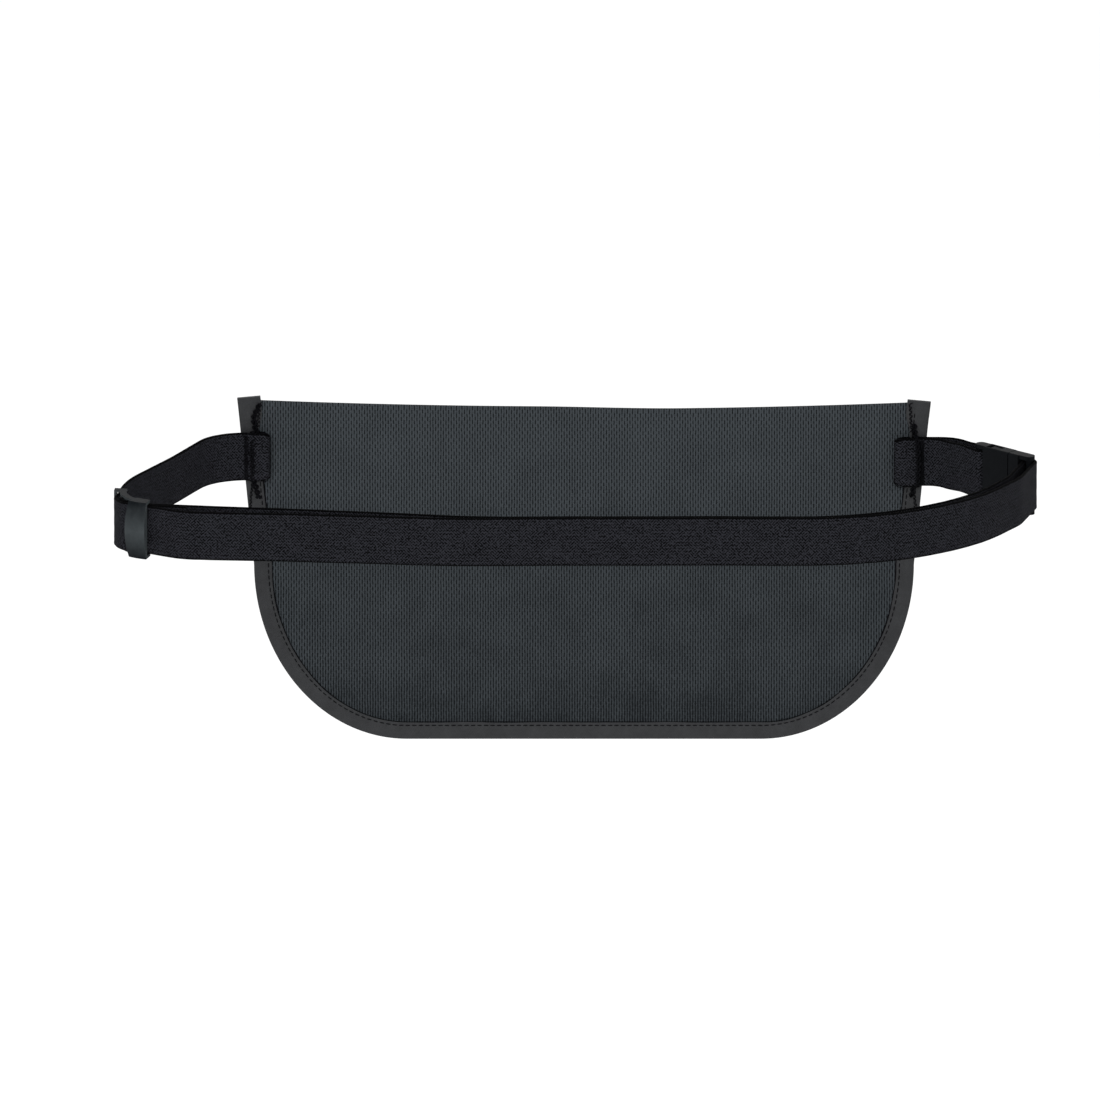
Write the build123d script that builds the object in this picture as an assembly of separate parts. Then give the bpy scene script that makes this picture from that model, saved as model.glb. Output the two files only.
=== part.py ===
"""Money belt: a flat pouch with two zipped pockets, carried on a closed elastic waist belt.

Millimetres. The origin is the middle of the waist loop at belt height. +X runs towards the
buckle, +Y from the wearer to the zips, and +Z is up.
"""
import os
from math import cos, radians, sin

from build123d import *

# Pouch outline
HALF_TOP = 138.6        # half width at the top of the binding
HALF_LOW = 132.0        # half width where the rounded corners start
CORNER_Z = -45.0
CORNER_REACH = 61.0     # each corner is a quarter ellipse, this far across
CORNER_DROP = 73.0      # and this far down
TAB_TOP = 24.9          # the binding's cut ends
FOLD_TOP = 23.6         # the folded top edge, at the corners
FOLD_SAG = 3.0          # and how far it dips in the middle
CLOTH_INSET = 0.7       # cloth edges lie inside the binding's fold
BINDING_WIDTH = 7.0
BINDING_THICK = 0.6

# Pouch layers, from the wearer outwards
PANEL_Y = 57.0
BACK_THICK = 1.4
LINING_THICK = 0.4
ZIP_ROOM = 0.9
TAPE_THICK = 0.5
FRONT_THICK = 0.8
BACK_OUT = PANEL_Y + BACK_THICK
DIVIDER_OUT = BACK_OUT + LINING_THICK
LINING_OUT = DIVIDER_OUT + LINING_THICK
TAPE_IN = LINING_OUT + ZIP_ROOM
TAPE_OUT = TAPE_IN + TAPE_THICK
FRONT_OUT = TAPE_OUT + FRONT_THICK

# Zips: height on the pouch, half length of the chain, half length of the tapes
ZIPS = {"main": (9.0, 118.0, 135.0), "pocket": (-24.0, 113.0, 131.9)}
ZIP_WINDOW = 4.5        # the panels stop this far from a zip's middle
TAPE_REACH = 9.5
COIL_WIDE = 2.2
COIL_HIGH = 1.3
PLATE_HALF = 4.5        # half length of a zip slider
PLATE_WIDE = 3.6        # and its half width
PULLER_LONG = 20.0

# Strap
STRAP_WIDTH = 20.0
STRAP_THICK = 1.3
FRONT_DEPTH = 115.9     # from the back panel to the front run's outer ply
PLY = 1.55              # from one ply's middle to the next
MIDDLE_X = 70.0         # where the front run's two halves meet

# Strap slider: three bars on an arch, each between two angles
ARCH_X, ARCH_DEPTH = -168.1, 83.7
ARCH_RADIUS = 17.0      # the strap's middle under the outer bars
FRONT_BAR = (108.0, 132.0)
CENTRE_BAR = (150.0, 160.0)
REAR_BAR = (182.0, 193.0)
SLIDER_HALF = 11.7
RAIL_HALF = 11.25
SLOT_HALF = 10.45

# Buckle, along its own axis from the mouth of the female half
BUCKLE_X, BUCKLE_DEPTH = 171.1, 32.3
BUCKLE_TURN = 41.5
BUCKLE_HALF = 12.1
BODY_LONG = 13.4
BASE_LONG = 5.0
BAR_RADIUS = 1.6
FEMALE_BAR = -16.8
MALE_BAR = 8.6
CAVITY_LONG = 12.4
CAVITY_HALF_THICK = 1.95
PRONG_HALF_THICK = 1.7
PRONG_AT = (0.6, 6.0)
PRONG_ROOT = 1.1
PRONG_FIT = 0.06


def half_width(z):
    """Half the pouch's width at a height above the rounded corners."""
    return HALF_LOW + (HALF_TOP - HALF_LOW) * (z - CORNER_Z) / (TAB_TOP - CORNER_Z)


def outline(inset, top):
    """The pouch's outline, drawn in by an inset at the sides and the bottom."""
    low = HALF_LOW - inset
    high = half_width(top) - inset
    centre_x = HALF_LOW - CORNER_REACH
    drop = CORNER_DROP - inset
    sides = Polyline((-low, CORNER_Z), (low, CORNER_Z), (high, top), (-high, top), close=True)
    shape = make_face(sides) + Pos(0, CORNER_Z - drop / 2) * Rectangle(2 * centre_x, drop)
    below = Pos(0, CORNER_Z - CORNER_DROP) * Rectangle(4 * HALF_TOP, 2 * CORNER_DROP)
    for side in (-1, 1):
        shape += (Pos(side * centre_x, CORNER_Z) * Ellipse(CORNER_REACH - inset, drop)) & below
    return shape


def band(sketch, low_z, high_z):
    """The part of a sketch between two heights."""
    return sketch & (Pos(0, (low_z + high_z) / 2) * Rectangle(4 * HALF_TOP, high_z - low_z))


def slab(sketch, low_y, high_y):
    """A flat layer between two levels."""
    return extrude(Plane.XZ.offset(-low_y) * sketch, amount=low_y - high_y)


def block(x, y, z):
    """A box given by its limits along each axis."""
    size = Box(x[1] - x[0], y[1] - y[0], z[1] - z[0])
    return Pos((x[0] + x[1]) / 2, (y[0] + y[1]) / 2, (z[0] + z[1]) / 2) * size


def mirrored(limits, side):
    """Limits on one side of a middle line, or the same limits on the other side."""
    return tuple(sorted(side * value for value in limits))


def plan(x, depth):
    """A point of a strap's route: x, and the distance from the back panel to the wearer's side."""
    return (x, PANEL_Y - depth)


def around(radius, angle):
    """A point of a strap's route on the strap slider's arch."""
    return plan(ARCH_X + radius * cos(radians(angle)), ARCH_DEPTH + radius * sin(radians(angle)))


def ribbon(points, radii):
    """A strap standing on its edge along a route in plan."""
    middle = FilletPolyline(*points, radius=radii)
    return extrude(trace(middle, STRAP_THICK), amount=STRAP_WIDTH / 2, both=True)


def along_buckle(distance):
    """A point on the buckle's axis, in plan, as x and depth."""
    turn = radians(BUCKLE_TURN)
    return (BUCKLE_X + distance * cos(turn), BUCKLE_DEPTH + distance * sin(turn))


def loop_corners(bar, heading, reach, back=0.0):
    """Two route corners round a bar, for a strap arriving on a heading, or two points further back."""
    ahead = (cos(radians(heading)), sin(radians(heading)))
    points = []
    for side in (-1, 1):
        x = bar[0] + (reach - back) * ahead[0] + side * reach * ahead[1]
        depth = bar[1] + (reach - back) * ahead[1] - side * reach * ahead[0]
        points.append(plan(x, depth))
    return points


# The pouch's cloth

def cloth_outline():
    """The folded cloth's outline: its top edge dips in the middle."""
    high = half_width(FOLD_TOP) - CLOTH_INSET
    dip = ThreePointArc((-high, FOLD_TOP), (0, FOLD_TOP - FOLD_SAG), (high, FOLD_TOP))
    return outline(CLOTH_INSET, FOLD_TOP) - make_face(dip + Line((high, FOLD_TOP), (-high, FOLD_TOP)))


def back_panel():
    """The padded knit back, folded over the top and down to the main zip."""
    cloth = cloth_outline()
    fold = cloth - Pos(0, -BACK_THICK) * cloth
    flap = band(cloth, ZIPS["main"][0] + ZIP_WINDOW, TAB_TOP)
    return slab(cloth, PANEL_Y, BACK_OUT) + slab(fold, BACK_OUT, TAPE_OUT) + slab(flap, TAPE_OUT, FRONT_OUT)


def lining(top, low_y, high_y):
    """A thin inner layer, open at its top."""
    return slab(band(outline(CLOTH_INSET, TAB_TOP), -150, top), low_y, high_y)


def front_panel(low_z, high_z):
    """A front panel between two heights."""
    return slab(band(outline(CLOTH_INSET, TAB_TOP), low_z, high_z), TAPE_OUT, FRONT_OUT)


def edge_binding():
    """A tape folded over the sides and the bottom, with its ends standing up at the top corners."""
    outer = slab(outline(0, TAB_TOP), PANEL_Y - BINDING_THICK, FRONT_OUT + BINDING_THICK)
    groove = slab(outline(BINDING_THICK, TAB_TOP + 10), PANEL_Y, FRONT_OUT)
    return outer - groove - slab(outline(BINDING_WIDTH, TAB_TOP + 10), PANEL_Y - 5, FRONT_OUT + 5)


# The zips

def zip_slider(centre, height):
    """A zip slider: two plates joined by a post ahead of the chain, with side flanges and a bridge on top."""
    low = block((-PLATE_HALF, PLATE_HALF), (TAPE_IN - 0.75, TAPE_IN - 0.15), (-PLATE_WIDE, PLATE_WIDE))
    top_y = TAPE_OUT + COIL_HIGH + 0.2
    top = block((-PLATE_HALF, PLATE_HALF), (top_y, top_y + 0.8), (-PLATE_WIDE, PLATE_WIDE))
    body = fillet(low.edges().filter_by(Axis.Y), 1.2) + fillet(top.edges().filter_by(Axis.Y), 1.2)
    body += block((1.6, 3.8), (TAPE_IN - 0.75, top_y + 0.4), (-0.8, 0.8))
    for side in (-1, 1):
        body += block((-3.2, 3.2), (TAPE_OUT + 0.3, top_y + 0.4), mirrored((2.7, PLATE_WIDE), side))
    bridge = block((-3.2, 3.2), (top_y + 0.4, top_y + 2.9), (-1.1, 1.1))
    bridge = fillet(bridge.edges().filter_by(Axis.Z).group_by(Axis.Y)[-1], 1.0)
    body += bridge - block((-2.0, 2.0), (top_y + 0.8, top_y + 2.1), (-2, 2))
    return Pos(centre, 0, height) * body


def zip_puller(centre, height):
    """A zip puller: a cross bar inside the slider's bridge, and a tab lying flat beyond it."""
    pivot_y = TAPE_OUT + COIL_HIGH + 1.65
    tab = block((0, PULLER_LONG), (pivot_y - 0.45, pivot_y + 0.45), (-3.2, 3.2))
    tab = fillet(tab.edges().filter_by(Axis.Y).group_by(Axis.X)[-1], 2.2)
    tab -= block((-1, 5), (0, 100), (-2, 2))
    tab -= Pos(PULLER_LONG - 3.4, pivot_y, 0) * Rot(90, 0, 0) * Cylinder(1.2, 5)
    return Pos(centre, 0, height) * (tab + Pos(0, pivot_y, 0) * Cylinder(0.5, 6.4))


def zip_nodes(name):
    """Every piece of one zip."""
    height, reach, tape_half = ZIPS[name]
    centre = reach - 3.5
    nodes = {}
    for side, word in ((1, "upper"), (-1, "lower")):
        across = mirrored((1.0, TAPE_REACH), side)
        tape = block((-tape_half, tape_half), (TAPE_IN, TAPE_OUT), across)
        nodes[f"tape_{word}"] = Pos(0, 0, height) * tape
        across = mirrored((0.1, COIL_WIDE), side)
        coil = block((-reach, reach - 2.5), (TAPE_OUT, TAPE_OUT + COIL_HIGH), across)
        coil = fillet(coil.edges().filter_by(Axis.X).group_by(Axis.Y)[-1], 0.5)
        nodes[f"coil_{word}"] = Pos(0, 0, height) * coil
        across = mirrored((0.4, 2.4), side)
        stop = block((reach + 1.6, reach + 3.6), (TAPE_OUT, TAPE_OUT + 1.4), across)
        nodes[f"top_stop_{word}"] = Pos(0, 0, height) * stop
    bottom = block((-reach - 2.5, -reach - 0.1), (TAPE_OUT, TAPE_OUT + 1.4), (-2.4, 2.4))
    nodes["bottom_stop"] = Pos(0, 0, height) * bottom
    nodes["slider"] = zip_slider(centre, height)
    nodes["puller"] = zip_puller(centre, height)
    return {f"{name}_zip_{key}": value for key, value in nodes.items()}


# The strap slider

def arch(section, angles):
    """A section in radius and height, swept round the arch between two angles."""
    swept = revolve(Plane.XZ * section, axis=Axis.Z, revolution_arc=angles[1] - angles[0])
    return Pos(*plan(ARCH_X, ARCH_DEPTH), 0) * Rot(0, 0, -angles[1]) * swept


def strap_slider():
    """A tri-glide: a wide crowned front bar, a low centre bar and a narrow rear bar between two rails."""
    inner = ARCH_RADIUS + 0.9
    crown = ThreePointArc((inner + 1.4, -SLIDER_HALF), (inner + 3.9, 0), (inner + 1.4, SLIDER_HALF))
    ends = Polyline((inner + 1.4, SLIDER_HALF), (inner, SLIDER_HALF), (inner, -SLIDER_HALF),
                    (inner + 1.4, -SLIDER_HALF))
    body = arch(make_face(crown + ends), FRONT_BAR)
    body += arch(Pos(ARCH_RADIUS - 2, 0) * Rectangle(2, 2 * SLOT_HALF + 1), CENTRE_BAR)
    body += arch(Pos(inner + 0.5, 0) * Rectangle(1, 2 * RAIL_HALF), REAR_BAR)
    for side in (-1, 1):
        for high, reach, angles in (
            (SLIDER_HALF, 4.5, FRONT_BAR),
            (RAIL_HALF, 2.6, (FRONT_BAR[0], REAR_BAR[1])),
            (RAIL_HALF, 4.9, REAR_BAR),
        ):
            centre = Pos(ARCH_RADIUS - 3 + reach / 2, side * (SLOT_HALF + high) / 2)
            body += arch(centre * Rectangle(reach, high - SLOT_HALF), angles)
    return body


# The buckle, drawn along its own axis and then set at the pouch's right side

def in_place(shape):
    """A buckle piece moved from its own axis to its place."""
    return Pos(*plan(BUCKLE_X, BUCKLE_DEPTH), 0) * Rot(0, 0, -BUCKLE_TURN) * shape


def buckle_female():
    """The socket: open at its mouth and at both side windows, with a strap bar behind."""
    body = block((-BODY_LONG, -0.3), (-3.2, 3.2), (-BUCKLE_HALF, BUCKLE_HALF))
    body = fillet(body.edges().filter_by(Axis.X), 1.0)
    body -= block((-CAVITY_LONG, 1), (-CAVITY_HALF_THICK, CAVITY_HALF_THICK), (-10, 10))
    body -= block((-CAVITY_LONG, -5.7), (-CAVITY_HALF_THICK, CAVITY_HALF_THICK), (-15, 15))
    for side in (-1, 1):
        body += block((FEMALE_BAR, -BODY_LONG), (-2.2, 2.2), mirrored((SLOT_HALF, BUCKLE_HALF), side))
        rail_end = Pos(FEMALE_BAR, 0, side * (SLOT_HALF + BUCKLE_HALF) / 2)
        body += rail_end * Cylinder(2.2, BUCKLE_HALF - SLOT_HALF)
    return in_place(body + Pos(FEMALE_BAR, 0, 0) * Cylinder(BAR_RADIUS, 2 * BUCKLE_HALF))


def buckle_male():
    """The base: two prong sockets, a guide blade between the prongs, and a strap bar behind."""
    body = block((0, BASE_LONG), (-3.0, 3.0), (-BUCKLE_HALF, BUCKLE_HALF))
    body = fillet(body.edges().filter_by(Axis.X), 1.0)
    for side in (-1, 1):
        socket = Pos(PRONG_AT[0], 0, side * PRONG_AT[1]) * Rot(90, 0, 0)
        body -= socket * Cylinder(PRONG_ROOT + PRONG_FIT, 2 * PRONG_HALF_THICK + 0.16)
        body += block((BASE_LONG, MALE_BAR), (-2.2, 2.2), mirrored((SLOT_HALF, BUCKLE_HALF), side))
        rail_end = Pos(MALE_BAR, 0, side * (SLOT_HALF + BUCKLE_HALF) / 2)
        body += rail_end * Cylinder(2.2, BUCKLE_HALF - SLOT_HALF)
    body += block((-9, 0), (-1.5, 1.5), (-1.6, 1.6))
    return in_place(body + Pos(MALE_BAR, 0, 0) * Cylinder(BAR_RADIUS, 2 * BUCKLE_HALF))


def buckle_prong(side):
    """A spring prong: a round root in its socket, a slim arm, and a latch head filling its window."""
    root_x, root_z = PRONG_AT
    head = make_face(Polyline(
        (-5.9, root_z - 0.75), (-5.9, 11.6), (-10.7, 11.8), (-11.3, 10.9), (-12, 8), (-12, root_z - 0.75),
        close=True))
    arm = Pos((root_x - 6.2) / 2, root_z) * Rectangle(root_x + 6.2, 1.5)
    shape = head + arm + Pos(root_x, root_z) * Circle(PRONG_ROOT)
    prong = extrude(Plane.XZ * shape, amount=PRONG_HALF_THICK, both=True)
    if side < 0:
        prong = mirror(prong, about=Plane.XY)
    return in_place(prong)


# The strap, in lengths that meet end to end

def strap_nodes():
    """Every length of the long strap and the short one, from the left seam round to the right."""
    sewn = 1.3
    over = sewn + 1.45
    inner_depth = FRONT_DEPTH - PLY
    out_join = plan(-166, 103.76)
    in_join = plan(-164, 97.93)
    male_bar = along_buckle(MALE_BAR)
    male_outer, male_inner = loop_corners(male_bar, -73.97, 2.4)
    outer_end, inner_end = loop_corners(male_bar, -73.97, 2.4, back=14.45)
    outer_bend, inner_bend = loop_corners(male_bar, -73.97, 2.4, back=25.23)
    female_far, female_near = loop_corners(along_buckle(FEMALE_BAR), 53.8, 2.6)
    return {
        "strap_rear_run": ribbon(
            [plan(-133.5, sewn), plan(-126.6, sewn), plan(-126.6, over), plan(-147.2, over),
             plan(-182.93, 66), around(17, 193)],
            [0.7, 0.7, 21, 60]),
        "strap_slider_pass": ribbon(
            [out_join, around(17, 103), around(17, 118), around(17, 134.5), around(18.7, 143),
             around(18.9, 156), around(18.7, 170), around(17, 181), around(17, 193)],
            [6, 10, 3, 3, 8, 3, 3]),
        "strap_sewn_end": ribbon(
            [in_join, around(13.75, 107), around(13.75, 121), around(13.75, 136), around(13.1, 147),
             around(13.1, 163.6), around(16.9, 163.6), around(16.9, 147.5), around(15.3, 138),
             around(15.3, 121), around(15.3, 107), plan(-158.2, 100.5)],
            [10, 10, 3, 3, 0.9, 0.9, 3, 3, 10, 10]),
        "strap_outer_run": ribbon(
            [out_join, plan(-160, 107.31), plan(-60, FRONT_DEPTH), plan(MIDDLE_X, FRONT_DEPTH)],
            [25, 300]),
        "strap_inner_run": ribbon(
            [in_join, plan(-40, inner_depth), plan(MIDDLE_X, inner_depth)],
            [300]),
        "strap_outer_right": ribbon(
            [plan(MIDDLE_X, FRONT_DEPTH), plan(140.12, FRONT_DEPTH), outer_bend, outer_end],
            [88.6, 28]),
        "strap_inner_right": ribbon(
            [plan(MIDDLE_X, inner_depth), plan(139.25, inner_depth), inner_bend, inner_end],
            [87, 40]),
        "strap_buckle_turn": ribbon([outer_end, male_outer, male_inner, inner_end], [2.38, 2.38]),
        "stub_strap": ribbon(
            [plan(130.2, sewn), plan(124.9, sewn), plan(124.9, over), plan(142, over), female_far,
             female_near, plan(149.5, sewn), plan(130.9, sewn)],
            [0.7, 0.7, 8, 2.35, 2.35, 12]),
        "bartack_left": block((-134.9, -133.9), (PANEL_Y - 3.7, PANEL_Y - 3.4), (-9, 9)),
        "bartack_right": block((133.1, 134.1), (PANEL_Y - 3.7, PANEL_Y - 3.4), (-9, 9)),
    }


parts = {
    "back_panel": back_panel(),
    "divider_panel": lining(18.5, BACK_OUT, DIVIDER_OUT),
    "pocket_lining": lining(2.0, DIVIDER_OUT, LINING_OUT),
    "front_panel_middle": front_panel(ZIPS["pocket"][0] + ZIP_WINDOW, ZIPS["main"][0] - ZIP_WINDOW),
    "front_panel_lower": front_panel(-150, ZIPS["pocket"][0] - ZIP_WINDOW),
    "edge_binding": edge_binding(),
    "strap_slider": strap_slider(),
    "buckle_female": buckle_female(),
    "buckle_male": buckle_male(),
    "buckle_prong_upper": buckle_prong(1),
    "buckle_prong_lower": buckle_prong(-1),
}
parts.update(zip_nodes("main"))
parts.update(zip_nodes("pocket"))
parts.update(strap_nodes())

os.makedirs("parts", exist_ok=True)
for node, shape in parts.items():
    export_step(shape, f"parts/{node}.step")
print(f"{len(parts)} parts written")
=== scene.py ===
# %% [markdown]
# # A money belt
# A flat pouch with two zips, worn on a loop of elastic. The pouch is cloth, bound all round with a
# satin tape. The elastic runs through a plastic strap slider and ends in a side-release buckle.
# The CAD model gives every place and size. Here each soft piece is made again as cloth, tape or
# elastic, and each hard piece gets rounded edges and a moulded or painted finish.

# %% Load the frame
from math import cos, hypot, pi, radians, sin, sqrt, tan

import bmesh
import bpy
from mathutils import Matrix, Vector, noise


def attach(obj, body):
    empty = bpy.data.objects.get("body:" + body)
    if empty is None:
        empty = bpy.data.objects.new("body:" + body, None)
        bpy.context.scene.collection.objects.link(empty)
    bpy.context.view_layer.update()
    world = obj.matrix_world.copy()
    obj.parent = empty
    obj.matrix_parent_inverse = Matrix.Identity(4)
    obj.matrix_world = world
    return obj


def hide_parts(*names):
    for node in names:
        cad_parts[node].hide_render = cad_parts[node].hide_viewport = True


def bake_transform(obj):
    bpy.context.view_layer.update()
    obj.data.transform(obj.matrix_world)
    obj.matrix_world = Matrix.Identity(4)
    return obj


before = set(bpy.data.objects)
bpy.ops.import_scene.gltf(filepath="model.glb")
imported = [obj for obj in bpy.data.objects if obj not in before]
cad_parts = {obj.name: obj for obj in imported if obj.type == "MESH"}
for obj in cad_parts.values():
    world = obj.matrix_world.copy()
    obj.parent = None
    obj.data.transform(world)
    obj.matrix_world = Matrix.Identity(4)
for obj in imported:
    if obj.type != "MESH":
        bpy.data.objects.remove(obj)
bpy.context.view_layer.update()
MM = 0.001

# %% [markdown]
# ## Camera, floor and light
# The belt is looked at from the wearer's side, a little from above, with a long lens, so that the
# near and the far run of the loop keep the same height. The floor is pale and the sky is an even
# white: a studio with large soft lamps.

# %% Camera
TARGET = Vector((-13.6, 57.0, -38.9)) * MM
ELEVATION = radians(17)
DISTANCE = 16.0
VIEW_WIDTH = 0.44

camera_data = bpy.data.cameras.new("camera")
camera_data.sensor_width = 36
camera_data.lens = 36 * DISTANCE / VIEW_WIDTH
camera_data.clip_start = 0.05
camera = bpy.data.objects.new("camera", camera_data)
camera.location = TARGET + DISTANCE * Vector((0, -cos(ELEVATION), sin(ELEVATION)))
camera.rotation_euler = (pi / 2 - ELEVATION, 0, 0)
bpy.context.collection.objects.link(camera)
bpy.context.scene.camera = camera
print("lens", round(camera_data.lens), "mm")

# %% Floor and lamps
FLOOR_Z = -0.42


def soft_lamp(name, place, aim, size, power):
    """A square area lamp that looks at a point."""
    data = bpy.data.lights.new(name, "AREA")
    data.size = size
    data.energy = power
    lamp = bpy.data.objects.new(name, data)
    lamp.location = place
    lamp.rotation_euler = (Vector(aim) - Vector(place)).to_track_quat("-Z", "Y").to_euler()
    bpy.context.collection.objects.link(lamp)


floor_mesh = bpy.data.meshes.new("floor")
floor_mesh.from_pydata([(-40, -40, FLOOR_Z), (40, -40, FLOOR_Z), (40, 40, FLOOR_Z), (-40, 40, FLOOR_Z)],
                       [], [(0, 1, 2, 3)])
floor = bpy.data.objects.new("floor", floor_mesh)
bpy.context.collection.objects.link(floor)
floor_paint = bpy.data.materials.new("pale floor")
floor_paint.use_nodes = True
floor_paint.node_tree.nodes["Principled BSDF"].inputs["Base Color"].default_value = (0.97, 0.97, 0.97, 1)
floor_paint.node_tree.nodes["Principled BSDF"].inputs["Roughness"].default_value = 0.9
floor_mesh.materials.append(floor_paint)

world = bpy.data.worlds.new("studio")
world.use_nodes = True
world.node_tree.nodes["Background"].inputs["Color"].default_value = (1, 1, 1, 1)
world.node_tree.nodes["Background"].inputs["Strength"].default_value = 1.0
bpy.context.scene.world = world
bpy.context.scene.view_settings.view_transform = "Standard"
soft_lamp("key", (-0.9, -1.9, 0.9), (0, 0, -0.03), 1.0, 24)
soft_lamp("fill", (1.4, -1.4, 0.5), (0, 0, -0.03), 1.2, 8)
soft_lamp("glint", (0.0, -0.5, 1.5), (0, 0, 0), 0.06, 3.5)
print("floor at", FLOOR_Z, "m")

# %% [markdown]
# ## Small tools for the materials
# A pattern such as a knit or a weave is arithmetic on a coordinate. `Sums` chains Math nodes so
# that each pattern below can be written as a few lines. A pattern that several finishes share is a
# node group with named inputs. It puts out only heights and masks; the shader stays in the material.

# %% Node tools


class Sums:
    """Math nodes chained inside one node tree."""

    def __init__(self, tree):
        self.tree = tree

    def node(self, kind, **settings):
        made = self.tree.nodes.new(kind)
        for key, value in settings.items():
            setattr(made, key, value)
        return made

    def calc(self, operation, *values):
        made = self.node("ShaderNodeMath", operation=operation)
        for slot, value in zip(made.inputs, values):
            if isinstance(value, (int, float)):
                slot.default_value = value
            else:
                self.tree.links.new(value, slot)
        return made.outputs[0]

    def plus(self, a, b):
        return self.calc("ADD", a, b)

    def minus(self, a, b):
        return self.calc("SUBTRACT", a, b)

    def times(self, a, b):
        return self.calc("MULTIPLY", a, b)

    def about_zero(self, value, scale):
        """A 0 to 1 value made to swing about zero, and scaled."""
        return self.times(self.minus(value, 0.5), scale)

    def clamp(self, value):
        """A value held between 0 and 1."""
        return self.calc("MINIMUM", self.calc("MAXIMUM", value, 0.0), 1.0)

    def link(self, source, target):
        self.tree.links.new(source, target)

    def noise(self, vector, scale, detail, roughness=0.6):
        made = self.node("ShaderNodeTexNoise")
        self.link(vector, made.inputs["Vector"])
        for key, value in (("Scale", scale), ("Detail", detail), ("Roughness", roughness)):
            if isinstance(value, (int, float)):
                made.inputs[key].default_value = value
            else:
                self.link(value, made.inputs[key])
        return made.outputs["Fac"]


def new_group(name, inputs, outputs):
    """An empty shader group with named sockets, and its input and output nodes."""
    tree = bpy.data.node_groups.new(name, "ShaderNodeTree")
    for label, kind, value in inputs:
        made = tree.interface.new_socket(label, in_out="INPUT", socket_type=kind)
        if value is not None:
            made.default_value = value
    for label in outputs:
        tree.interface.new_socket(label, in_out="OUTPUT", socket_type="NodeSocketFloat")
    return tree, tree.nodes.new("NodeGroupInput"), tree.nodes.new("NodeGroupOutput")


# %% [markdown]
# ### Eyelet knit
# The back is a knit with fine upright ribs, about one a millimetre. Between the ribs lie short
# dark slits, the open stitches that let the cloth breathe. Every second column of slits is shifted
# by half a step.

# %% The knit group
knit, knit_in, knit_out = new_group(
    "Eyelet knit",
    [("Coordinate", "NodeSocketVector", None), ("Rib pitch", "NodeSocketFloat", 0.00105),
     ("Slit pitch", "NodeSocketFloat", 0.0029), ("Slit share", "NodeSocketFloat", 0.62)],
    ["Height", "Slit", "Mottle"])
s = Sums(knit)
wobble = s.noise(knit_in.outputs["Coordinate"], 260.0, 2.0)
parts = s.node("ShaderNodeSeparateXYZ")
s.link(knit_in.outputs["Coordinate"], parts.inputs[0])
across = s.plus(parts.outputs["X"], s.about_zero(wobble, 0.00045))
column = s.calc("DIVIDE", across, knit_in.outputs["Rib pitch"])
column_number = s.calc("FLOOR", column)
in_column = s.calc("ABSOLUTE", s.minus(s.calc("FRACT", column), 0.5))
shift = s.times(s.calc("PINGPONG", column_number, 1.0), 0.5)
row = s.plus(s.calc("DIVIDE", parts.outputs["Z"], knit_in.outputs["Slit pitch"]), shift)
row = s.plus(row, s.about_zero(wobble, 0.5))
in_row = s.calc("ABSOLUTE", s.minus(s.calc("FRACT", row), 0.5))
half_slit = s.times(knit_in.outputs["Slit share"], 0.5)
long_enough = s.times(s.minus(half_slit, in_row), 12.0)
narrow_enough = s.times(s.minus(0.22, in_column), 9.0)
slit = s.times(s.clamp(long_enough), s.clamp(narrow_enough))
rib = s.times(in_column, 1.7)
loops = s.times(s.calc("SINE", s.times(parts.outputs["Z"], 2 * pi / 0.0007)), 0.12)
fuzz = s.about_zero(s.noise(knit_in.outputs["Coordinate"], 900.0, 2.0), 0.9)
open_stitch = s.times(slit, s.plus(fuzz, 0.72))
height = s.minus(s.plus(rib, loops), open_stitch)
s.link(s.plus(height, fuzz), knit_out.inputs["Height"])
s.link(slit, knit_out.inputs["Slit"])
s.link(s.noise(knit_in.outputs["Coordinate"], 55.0, 5.0, 0.7), knit_out.inputs["Mottle"])
print("knit group:", len(knit.nodes), "nodes")

# %% [markdown]
# ### Woven cloth and elastic
# The elastic is woven in a fine herringbone: rows of slanted floats, each row leaning the other way.
# The same group with no slant gives the plain weave of the tapes, the linings and the front cloth.
# It works on the piece's own coordinates, so the weave follows every bend.

# %% The weave group
weave, weave_in, weave_out = new_group(
    "Slanted weave",
    [("Coordinate", "NodeSocketVector", None), ("Float pitch", "NodeSocketFloat", 0.0007),
     ("Row width", "NodeSocketFloat", 0.0009), ("Slant", "NodeSocketFloat", 1.0)],
    ["Height", "Edge shade and selvedge", "Mottle", "Fleck"])
s = Sums(weave)
parts = s.node("ShaderNodeSeparateXYZ")
s.link(weave_in.outputs["Coordinate"], parts.inputs[0])
swing = s.about_zero(s.noise(weave_in.outputs["Coordinate"], 700.0, 2.0), 0.35)
along = s.plus(s.calc("DIVIDE", parts.outputs["X"], weave_in.outputs["Float pitch"]), swing)
across = s.calc("DIVIDE", parts.outputs["Y"], weave_in.outputs["Row width"])
slanted = s.times(across, weave_in.outputs["Slant"])
rising = s.calc("SINE", s.times(s.plus(along, slanted), 2 * pi))
falling = s.calc("SINE", s.times(s.minus(along, slanted), 2 * pi))
choice = s.about_zero(s.noise(weave_in.outputs["Coordinate"], 420.0, 1.0), 3.0)
choice = s.clamp(s.plus(choice, 0.5))
either = s.plus(s.times(rising, choice),
                s.times(falling, s.minus(1.0, choice)))
pick = s.times(s.calc("SINE", s.times(across, 2 * pi)), 0.25)
height = s.plus(s.times(s.plus(either, pick), 0.45), 0.5)
s.link(height, weave_out.inputs["Height"])
# Painted shade: this mask darkens a thin band along both edges of the tape, partly the selvedge's darker yarn
# and mostly the shade at the edges.
rim = s.times(s.minus(s.calc("ABSOLUTE", parts.outputs["Y"]), 0.0092), 2200.0)
s.link(s.clamp(rim), weave_out.inputs["Edge shade and selvedge"])
s.link(s.noise(weave_in.outputs["Coordinate"], 140.0, 6.0, 0.75), weave_out.inputs["Mottle"])
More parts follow.
